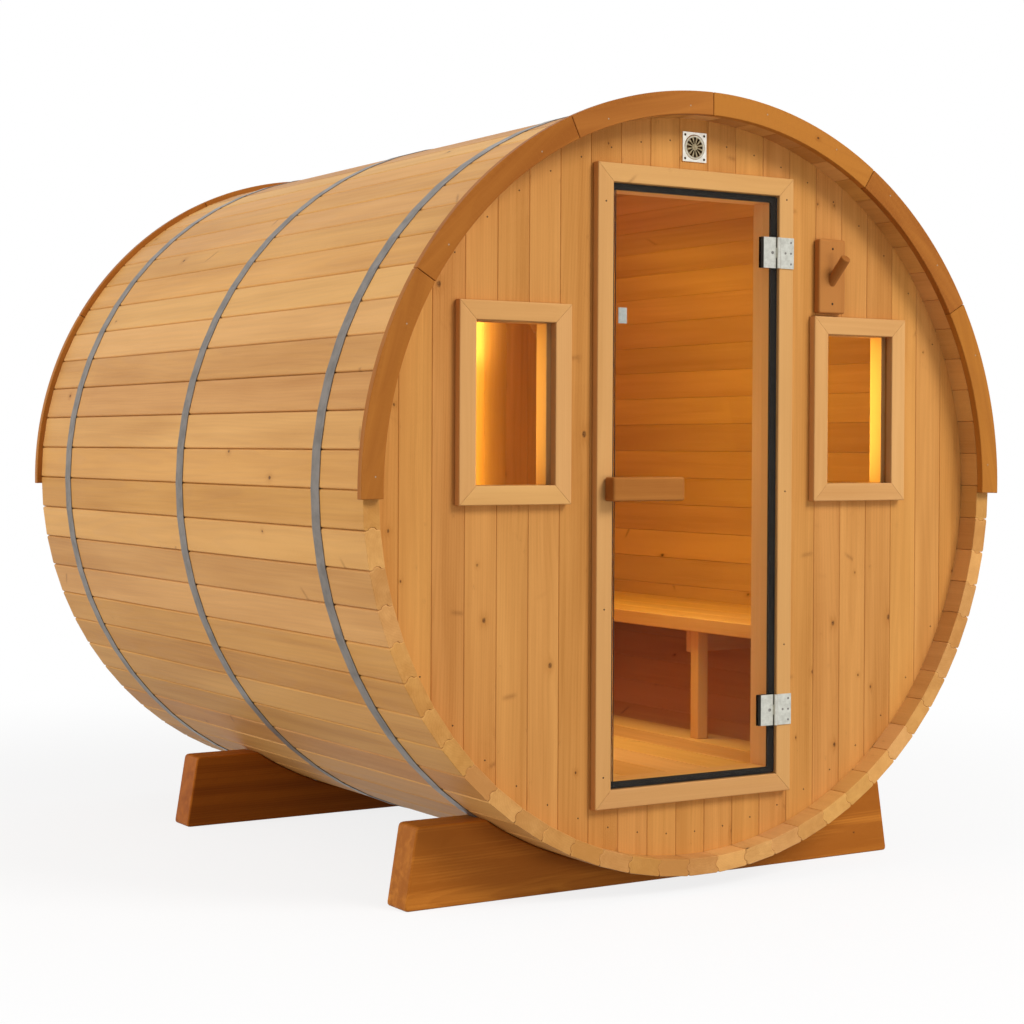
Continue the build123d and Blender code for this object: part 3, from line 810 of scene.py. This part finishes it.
def wood(name, pale, deep, knots=0.3, contrast=1.0, variation=1.0, turn=None):
    """Softwood on boards that carry grain places, or on a CAD node with its grain along a turned axis."""
    material, g, shader = new_material(name)
    group = g.add("Group", node_tree=SOFTWOOD)
    if turn is None:
        for key, output in (("Grain", "Vector"), ("Seed", "Fac"), ("End", "Fac")):
            g.set(group.inputs[key], g.add("Attribute", attribute_name=key.lower()).outputs[output])
    else:
        place = g.add("TexCoord").outputs["Object"]
        g.set(group.inputs["Grain"], g.add("Mapping", {"Vector": place, "Rotation": turn}).outputs["Vector"])
        group.inputs["Seed"].default_value = JOIST_SEED
    colours = {"Pale": (*pale, 1.0), "Deep": (*deep, 1.0)}
    for key, value in {**colours, "Knots": knots, "Contrast": contrast, "Variation": variation}.items():
        group.inputs[key].default_value = value
    shader.inputs["Specular IOR Level"].default_value = 0.15
    join_surface(g, shader, group, 0.18, 0.0005)
    return material


def metal(name, bright, dull, blotch, lines=(500.0, 500.0, 500.0), metallic=1.0):
    """Worn metal on Object coordinates."""
    material, g, shader = new_material(name)
    place = g.add("TexCoord").outputs["Object"]
    group = g.add("Group", node_tree=WORN_METAL)
    colours = {"Bright": (*bright, 1.0), "Dull": (*dull, 1.0)}
    for key, value in {**colours, "Place": place, "Lines": lines, "Blotch": blotch}.items():
        g.set(group.inputs[key], value)
    shader.inputs["Metallic"].default_value = metallic
    shader.inputs["Specular IOR Level"].default_value = 0.1
    join_surface(g, shader, group, 0.12, 0.0002)
    return material


def rubber(name, dark):
    """Matt rubber with a fine mottle."""
    material, g, shader = new_material(name)
    fine = g.noise(g.add("TexCoord").outputs["Object"], (260.0, 260.0, 260.0), 3.0)
    lighter = tuple(channel * 2.4 for channel in dark)
    g.set(shader.inputs["Base Color"], g.mix(fine, (*dark, 1.0), (*lighter, 1.0)))
    g.set(shader.inputs["Roughness"], g.fit(fine, 0.3, 0.38))
    shader.inputs["Specular IOR Level"].default_value = 0.15
    g.bump(shader, fine, 0.2, 0.0004)
    return material


def glass(name, tint):
    """Clear float glass with a faint haze of wiped smears in its roughness."""
    material, g, shader = new_material(name)
    smear = g.noise(g.add("TexCoord").outputs["Object"], (3.0, 3.0, 1.2), 3.0, 0.6)
    shader.inputs["Base Color"].default_value = (*tint, 1.0)
    shader.inputs["Transmission Weight"].default_value = 1.0
    shader.inputs["IOR"].default_value = 1.12
    g.set(shader.inputs["Roughness"], g.times(g.step(smear, 0.52, 0.8), 0.03))
    return material


STAVE_WOOD = wood("stave_softwood", (0.755, 0.404, 0.133), (0.50, 0.228, 0.061), knots=0.06, contrast=0.75)
WALL_WOOD = wood("wall_softwood", (0.66, 0.310, 0.084), (0.46, 0.190, 0.042), 0.36, 1.15, 0.5)
DOORCASE_WOOD = wood("doorcase_softwood", (0.685, 0.376, 0.140), (0.535, 0.263, 0.084), 0.02, 0.65, 0.5)
CASING_WOOD = wood("casing_softwood", (0.72, 0.396, 0.147), (0.56, 0.276, 0.088), 0.02, 0.65, 0.5)
JAMB_WOOD = wood("jamb_softwood", (0.86, 0.49, 0.180), (0.68, 0.35, 0.110), 0.0, 0.65, 0.5)
TRIM_WOOD = wood("end_trim_softwood", (0.46, 0.172, 0.029), (0.30, 0.094, 0.013), knots=0.05)
FRONT_CRADLE_WOOD = wood("front_cradle_timber", (0.65, 0.232, 0.036), (0.37, 0.108, 0.012), 0.16, 1.9)
# The rear cradle's timber is the front one's made darker: painted shade for the barrel's shadow over it
SHADED_REAR_CRADLE_WOOD = wood("rear_cradle_timber_painted_shade", (0.42, 0.118, 0.009), (0.25, 0.058, 0.004), 0.12, 1.9)
PULL_WOOD = wood("pull_hardwood", (0.44, 0.172, 0.034), (0.32, 0.108, 0.018), knots=0.0, contrast=0.9)
HOOK_WOOD = wood("handle_hardwood", (0.46, 0.185, 0.045), (0.32, 0.110, 0.022), knots=0.0, contrast=0.9)
PEG_WOOD = wood("peg_hardwood", (0.42, 0.155, 0.034), (0.28, 0.088, 0.016), knots=0.0, contrast=0.9)
INSIDE_WOOD = wood("inside_softwood", (0.82, 0.46, 0.150), (0.64, 0.31, 0.084), knots=0.05)
JOIST_WOOD = wood("joist_softwood", (0.50, 0.25, 0.09), (0.33, 0.14, 0.04), turn=(0.0, 0.0, math.pi / 2))
HOOP_STEEL = metal("hoop_steel", (0.24, 0.212, 0.188), (0.16, 0.143, 0.128), 22.0, (60.0, 900.0, 60.0), 0.12)
HINGE_STEEL = metal("hinge_steel", (0.70, 0.69, 0.61), (0.55, 0.54, 0.47), 70.0, (40.0, 500.0, 900.0))
CATCH_STEEL = metal("catch_steel", (0.62, 0.63, 0.60), (0.50, 0.51, 0.48), 90.0, (500.0, 500.0, 60.0), 0.3)
VENT_STEEL = metal("vent_steel", (0.93, 0.89, 0.79), (0.80, 0.75, 0.65), 90.0, (500.0, 500.0, 60.0))
GRILLE_BRONZE = metal("grille_bronze", (0.47, 0.38, 0.23), (0.25, 0.19, 0.105), 160.0)
RIM_STEEL = metal("rim_steel", (0.66, 0.61, 0.48), (0.48, 0.43, 0.32), 160.0)
# Finish of the dark disc behind the grille: painted shade for the duct
PAINTED_DUCT_SHADE = metal("vent_duct_painted_shade", (0.170, 0.090, 0.032), (0.075, 0.038, 0.013), 300.0, (900.0, 900.0, 900.0), 0.3)
SCREW_STEEL = metal("screw_steel", (0.36, 0.34, 0.31), (0.20, 0.19, 0.17), 300.0)
NAIL_STEEL = metal("nail_steel", (0.55, 0.43, 0.30), (0.30, 0.21, 0.13), 400.0)
DARK_NAIL = metal("dark_nail", (0.075, 0.045, 0.025), (0.04, 0.022, 0.012), 400.0, metallic=0.4)
SEAL_RUBBER = rubber("seal_rubber", (0.012, 0.010, 0.008))
DOOR_GLASS = glass("door_glass", (0.98, 0.985, 0.97))
WINDOW_GLASS = glass("window_glass", (0.985, 0.985, 0.975))

# Barrel and trims
for group_name, staves in stave_groups().items():
    staves.make("barrel_" + group_name, STAVE_WOOD, "stave_wood", "staves_" + group_name)
for place, trim_seed in (("front", 300), ("rear", 320)):
    end_boards = trim_boards("end_trim_" + place, trim_seed)
    end_boards.make("end_boards_" + place, TRIM_WOOD, "trim_wood", "end_trim_" + place)

# End walls, cut for the door, the windows and the vent
casing_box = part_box("door_casing")
jamb_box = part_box("door_jamb")
wall_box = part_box("front_wall_left")
vent_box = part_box("vent_plate")
vent_level = (vent_box[0].z + vent_box[1].z) / 2
opening_boxes = (jamb_box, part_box("window_liner_left"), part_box("window_liner_right"))
openings = [(low.x, high.x, low.z, high.z) for low, high in opening_boxes]
wall_boards(wall_box, openings, 400, vent_level).make(
    "front_wall_boards", WALL_WOOD, "wall_wood",
    "front_wall_left", "front_wall_right", "front_wall_over_door", "front_wall_under_door")
wall_boards(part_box("rear_wall"), [], 450).make("rear_wall_boards", WALL_WOOD, "wall_wood", "rear_wall")

# Door casing, jamb and window frames
casing = mitred_frame(Timber(), casing_box, RAIL, 500)
casing.make("door_casing_rails", DOORCASE_WOOD, "casing_wood", "door_casing")
jamb_joint = jamb_box[0].y + JAMB_FRONT
jamb = mitred_frame(Timber(), jamb_box, JAMB, 510, JAMB_SOFT, back=jamb_joint)
mitred_frame(jamb, jamb_box, JAMB, 520, JAMB_SOFT, front=jamb_joint)
jamb.make("door_jamb_boards", JAMB_WOOD, "casing_wood", "door_jamb")
for side, frame_seed in (("left", 530), ("right", 550)):
    rails = mitred_frame(Timber(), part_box("window_trim_" + side), RAIL, frame_seed)
    rails.make("window_rails_" + side, CASING_WOOD, "casing_wood", "window_trim_" + side)
    liner_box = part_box("window_liner_" + side)
    liner_front = liner_box[0].y + BEHIND_GLASS
    liner = mitred_frame(Timber(), liner_box, LINER, frame_seed + 10, LINER_SOFT, liner_front)
    liner.make("window_reveal_" + side, CASING_WOOD, "casing_wood", "window_liner_" + side)

# Floor, bench, legs and bearers
floor = plank_row("floor_boards", FLOOR_PLANKS, FLOOR_GAP, 600)
floor.make("floor_planks", INSIDE_WOOD, "interior_wood", "floor_boards")
seat = plank_row("bench_seat", BENCH_PLANKS, BENCH_GAP, 620, BENCH_SOFT)
seat.make("bench_planks", INSIDE_WOOD, "interior_wood", "bench_seat")
for node, depth, along, piece_name in (
    ("bench_legs", POST_DEPTH, 2, "bench_posts"), ("bench_bearers", BEARER_DEPTH, 0, "bench_rails"),
):
    low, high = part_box(node)
    pair = plank(Timber(), low, (high.x, low.y + depth, high.z), along, 640 + along)
    plank(pair, (low.x, high.y - depth, low.z), high, along, 650 + along)
    pair.make(piece_name, INSIDE_WOOD, "interior_wood", node)

# Cradles: the front hoop crosses the front one, and the rear one has a darker copy of the same timber, which
# is painted shade
for place, cradle_seed, cradle_wood, crossing in (
    ("front", 700, FRONT_CRADLE_WOOD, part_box("hoop_front")), ("rear", 710, SHADED_REAR_CRADLE_WOOD, None),
):
    beam = cradle_timber("cradle_" + place, cradle_seed, crossing)
    beam.make("cradle_beam_" + place, cradle_wood, "cradle_wood", "cradle_" + place)

# Door pulls: the outer one laps over the casing and stays clear of it
glass_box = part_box("door_glass")
pull_lap = (glass_box[0].x, glass_box[0].y - PULL_LAP)
for place, pull_seed, lap in (("outside", 720, pull_lap), ("inside", 730, None)):
    pull = pull_block(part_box("door_handle_" + place), pull_seed, lap)
    pull.make("door_pull_" + place, PULL_WOOD, "handle_wood", "door_handle_" + place, body="door")

# Hook: a softened board and a dowel that slopes up and out of it
hook_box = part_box("hook_block")
hook_middle = (hook_box[0] + hook_box[1]) / 2
board = plank(Timber(), *hook_box, 2, 740, HOOK_SOFT)
board.make("hook_board", HOOK_WOOD, "handle_wood", "hook_block")
peg_root = (hook_middle.x, hook_box[0].y + PEG_SEAT, hook_middle.z - PEG_DROP - PEG_SEAT)
peg_places, peg_insets = end_stations((PEG_SEAT + PEG_REACH) * math.sqrt(2), PEG_SOFT)
dowel = turned(Timber(), peg_root, (0, -1, 1), peg_places, PEG_RADIUS - peg_insets, 750)
dowel.make("hook_dowel", PEG_WOOD, "handle_wood", "hook_peg")

# Catch plate, a hair behind the glass that carries it
catch_low, catch_high = (corner + Vector((0, BEHIND_GLASS, 0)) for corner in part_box("catch_plate"))
catch = plank(Timber(), catch_low, catch_high, 2, 755, CATCH_SOFT)
catch.make("catch_tab", CATCH_STEEL, "hinge_steel", "catch_plate", body="door")

# Screws of the hinges, the hook and the vent
leaf_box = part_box("hinge_leaves")
hinge_levels = (leaf_box[0].z + HINGE_HALF, leaf_box[1].z - HINGE_HALF)
leaf_face = casing_box[0].y - PLATE
clamp_face = glass_box[0].y - PLATE - PAD
clamp_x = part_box("hinge_clamps")[0].x + CLAMP_EDGE
leaf_edge, leaf_inner = leaf_box[1].x - LEAF_EDGE, leaf_box[1].x - LEAF_INNER
leaf_levels = [level + rise for level in hinge_levels for rise in (-LEAF_RISE, 0, LEAF_RISE)]
leaf_screws = [(leaf_edge, leaf_face, level) for level in leaf_levels]
leaf_screws += [(leaf_inner, leaf_face, level) for level in hinge_levels]
clamp_screws = [(clamp_x, clamp_face, level) for level in hinge_levels]
screw_heads("hinge_leaf_screws", leaf_screws, LEAF_SCREW, SCREW_STEEL, "hinge_steel")
screw_heads("hinge_clamp_screws", clamp_screws, CLAMP_SCREW, SCREW_STEEL, "hinge_steel", "door")
hook_screws = [(hook_middle.x, hook_box[0].y, hook_middle.z + rise) for rise in (-HOOK_RISE, HOOK_RISE)]
screw_heads("hook_screws", hook_screws, HOOK_SCREW, DARK_NAIL, "hinge_steel")
corner = (vent_box[1].x - vent_box[0].x) / 2 - VENT_INSET
vent_screws = [(x, vent_box[0].y, vent_level + z) for x in (-corner, corner) for z in (-corner, corner)]
screw_heads("vent_screws", vent_screws, VENT_SCREW, DARK_NAIL, "vent_steel")

# Painted shade in the vent: a dark disc behind the grille stands in for the shaded duct, and a rolled rim
# goes round it
duct_shade_middle = (0.0, wall_box[0].y + DUCT_SHADE_SETBACK, vent_level)
duct_shade = turned(Timber(), duct_shade_middle, (0, 1, 0), DUCT_SHADE_PLACES, DUCT_SHADE_RADII, 765, VENT_COLUMNS)
duct_shade.make("vent_duct_painted_shade", PAINTED_DUCT_SHADE, "vent_steel")
rim_turn = np.linspace(0.0, 2 * math.pi, 12, endpoint=False)
rim_radii = RIM_RADIUS + RIM_HALF_WIDTH * np.cos(rim_turn)
rim_middle = (0.0, vent_box[0].y, vent_level)
rim_places = RIM_RISE * np.sin(rim_turn)
rim = turned(Timber(), rim_middle, FORWARD, rim_places, rim_radii, 760, VENT_COLUMNS, loop=True)
rim.make("vent_rim", RIM_STEEL, "vent_steel")

# Nails: bright ones in the end trims, small dark ones in the door casing and the wall boards
for place, sign in (("front", -1), ("rear", 1)):
    low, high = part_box("end_trim_" + place)
    stops = np.radians(TRIM_NAIL_STOPS)
    play = random.uniform(-TRIM_NAIL_PLAY, TRIM_NAIL_PLAY, (len(stops) - 1, 2))
    turns = (stops[:-1, None] + np.diff(stops)[:, None] * (np.array(TRIM_NAIL_SHARES) + play)).ravel()
    reaches = (high.z - AXIS_Z + INNER_RADIUS) / 2
    reaches = reaches + random.uniform(-TRIM_NAIL_ASIDE, TRIM_NAIL_ASIDE, len(turns))
    face = np.full(len(turns), low.y if sign < 0 else high.y)
    heads = np.stack([reaches * np.cos(turns), face, AXIS_Z + reaches * np.sin(turns)], axis=1)
    nail_heads("trim_nails_" + place, heads, TRIM_NAIL, NAIL_STEEL, (0, sign, 0))
casing_middle = (casing_box[0] + casing_box[1]) / 2
casing_half = (casing_box[1] - casing_box[0]) / 2
stile = casing_half.x - RAIL / 2
casing_nails = [(side * stile, casing_box[0].y, casing_middle.z + share * casing_half.z)
                for side, share in CASING_NAIL_PLACES]
nail_heads("casing_nails", casing_nails, CASING_NAIL, DARK_NAIL)
wall_nails = []
for board_index in range(-WALL_NAIL_BOARDS, WALL_NAIL_BOARDS + 1):
    across = board_index * BOARD_PITCH + WALL_NAIL_ASIDE
    rise = math.sqrt(INNER_RADIUS ** 2 - across ** 2) - WALL_NAIL_FROM_RIM
    wall_nails += [(across, wall_box[0].y, AXIS_Z + sign * rise) for sign in (-1, 1)]
nail_heads("wall_nails", wall_nails, WALL_NAIL, DARK_NAIL)

# CAD nodes that keep their shape and get their finish
for finish, node_names in (
    (JOIST_WOOD, ("floor_joists",)),
    (HOOP_STEEL, ("hoop_front", "hoop_middle", "hoop_rear")),
    (HINGE_STEEL, ("hinge_leaves", "hinge_clamps")),
    (VENT_STEEL, ("vent_plate",)),
    (GRILLE_BRONZE, ("vent_grille",)),
    (SEAL_RUBBER, ("hinge_pads", "door_seal")),
    (DOOR_GLASS, ("door_glass",)),
    (WINDOW_GLASS, ("window_glass_left", "window_glass_right")),
):
    for node in node_names:
        slots = nodes[node].data.materials
        slots.clear()
        slots.append(finish)


def light_source(name, kind, place, power, colour):
    """A light that falls on surfaces and isn't itself seen, also not in gloss or glass."""
    light = bpy.data.lights.new(name, kind)
    light.energy = power
    light.color = colour
    holder = new_object(name, light)
    holder.location = place
    holder.visible_camera = False
    holder.visible_glossy = False
    holder.visible_transmission = False
    return light, holder


def lamp(name, place, aim, size, power, colour=WHITE, spread=180.0):
    """A soft lamp of a width and a height, turned towards a point, its beam held to a spread in degrees."""
    light, holder = light_source(name, "AREA", place, power, colour)
    light.shape = "RECTANGLE"
    light.size, light.size_y = size
    light.spread = math.radians(spread)
    holder.rotation_euler = (Vector(aim) - Vector(place)).to_track_quat("-Z", "Y").to_euler()


def glow(name, place, radius, power, colour):
    """A small round lamp that shines all ways."""
    light, _ = light_source(name, "POINT", place, power, colour)
    light.shadow_soft_size = radius


def seen_rays(g):
    """One for the camera's rays, and one for those and the rays of gloss and glass."""
    rays = g.add("LightPath").outputs
    mirrored = g.math("MAXIMUM", rays["Is Glossy Ray"], rays["Is Transmission Ray"])
    return rays["Is Camera Ray"], g.math("MAXIMUM", rays["Is Camera Ray"], mirrored)


def white_world():
    """Even white light, seen as plain white by the camera, in reflections and through glass."""
    world = bpy.data.worlds.new("white_studio")
    bpy.context.scene.world = world
    world.use_nodes = True
    g = Graph(world.node_tree)
    back = next(item for item in world.node_tree.nodes if item.type == "BACKGROUND")
    back.inputs["Color"].default_value = (*WHITE, 1.0)
    _, seen = seen_rays(g)
    g.set(back.inputs["Strength"], g.fit(seen, 1.0 - WORLD_LIGHT, WORLD_LIGHT))


def white_floor():
    """A wide floor: plain white far off, part lit near the object, where it keeps the shadow."""
    mesh = bpy.data.meshes.new("studio_floor")
    corners = [(x * FLOOR_HALF, y * FLOOR_HALF, 0) for x, y in ((-1, -1), (1, -1), (1, 1), (-1, 1))]
    mesh.from_pydata(corners, [], [(0, 1, 2, 3)])
    material, g, shader = new_material("studio_floor")
    shader.inputs["Roughness"].default_value = 0.9
    camera, seen = seen_rays(g)
    g.set(shader.inputs["Base Color"], g.mix(camera, FLOOR_BOUNCE, FLOOR_PALE))
    far = g.step(g.vector("LENGTH", g.add("TexCoord").outputs["Object"]), *FLOOR_FADE)
    plain = g.times(seen, g.fit(far, 1.0 - FLOOR_PLAIN, FLOOR_PLAIN))
    white = g.add("Emission", {"Color": (*WHITE, 1.0), "Strength": 1.0})
    blend = g.add("MixShader", {0: plain, 1: shader.outputs[0], 2: white.outputs[0]})
    target = next(item for item in material.node_tree.nodes if item.type == "OUTPUT_MATERIAL")
    g.set(target.inputs["Surface"], blend.outputs[0])
    mesh.materials.append(material)
    new_object("studio_floor", mesh)


def photo_camera():
    """The camera at the photograph's place: yaw and pitch give its aim, roll turns it about that."""
    yaw, pitch, roll = (math.radians(angle) for angle in CAMERA_TURN)
    ahead = np.array([-math.sin(yaw) * math.cos(pitch), math.cos(yaw) * math.cos(pitch), math.sin(pitch)])
    side = np.array([math.cos(yaw), math.sin(yaw), 0.0])
    up = np.cross(side, ahead)
    turned_side = side * math.cos(roll) + up * math.sin(roll)
    turned_up = up * math.cos(roll) - side * math.sin(roll)
    data = bpy.data.cameras.new("photo_camera")
    data.lens = CAMERA_LENS
    data.sensor_width = CAMERA_SENSOR
    data.shift_x, data.shift_y = CAMERA_SHIFT
    holder = new_object("photo_camera", data)
    rows = np.stack([turned_side, turned_up, -ahead, np.array(CAMERA_PLACE)], axis=1)
    holder.matrix_world = Matrix(rows.tolist() + [[0.0, 0.0, 0.0, 1.0]])
    bpy.context.scene.camera = holder


# Camera, studio light and the warm light inside the cabin
photo_camera()
white_world()
white_floor()
lamp("side_lamp", (-9.5, 0.6, 2.6), (-0.5, 0.0, 0.95), (4.0, 4.0), 450.0)
lamp("front_lamp", (3.6, -8.8, 7.6), (0.0, -1.0, 0.9), (4.0, 4.0), 790.0)
lamp("low_fill", (1.2, -6.5, 0.4), (0.1, -1.0, 0.3), (3.0, 0.8), 64.0)
lamp("cabin_lamp", (0.0, -0.15, 1.66), (0.06, -0.15, 0.0), (0.4, 0.6), 8.2, (1.0, 0.78, 0.04))
glow("cabin_glow", (0.34, -0.66, 1.22), 0.06, 1.0, (1.0, 0.84, 0.14))
glow("cabin_glow_left", (-0.70, -0.45, 1.30), 0.08, 0.5, (1.0, 0.76, 0.10))
lamp("door_daylight", (0.0, -0.84, 1.30), (0.08, -0.35, 0.26), (0.35, 0.5), 1.10, (1.0, 0.97, 0.92), 75.0)
lamp("corner_lamp", (0.514, 0.865, 1.24), (0.514, 0.91, 1.24), (0.02, 0.76), 0.48, (1.0, 0.80, 0.22))
lamp("corner_lamp_top", (0.514, 0.865, 1.43), (0.514, 0.91, 1.43), (0.02, 0.20), 0.20, (1.0, 0.86, 0.40))
for side, middle, power in (("left", -0.508, 0.25), ("right", 0.508, 0.46)):
    reveal = (middle + 0.105, -0.907, 1.15)
    lamp("reveal_lamp_" + side, (middle, -0.80, 1.15), reveal, (0.03, 0.36), power, (1.0, 0.74, 0.18), 100.0)
bpy.context.scene.view_settings.view_transform = "Standard"
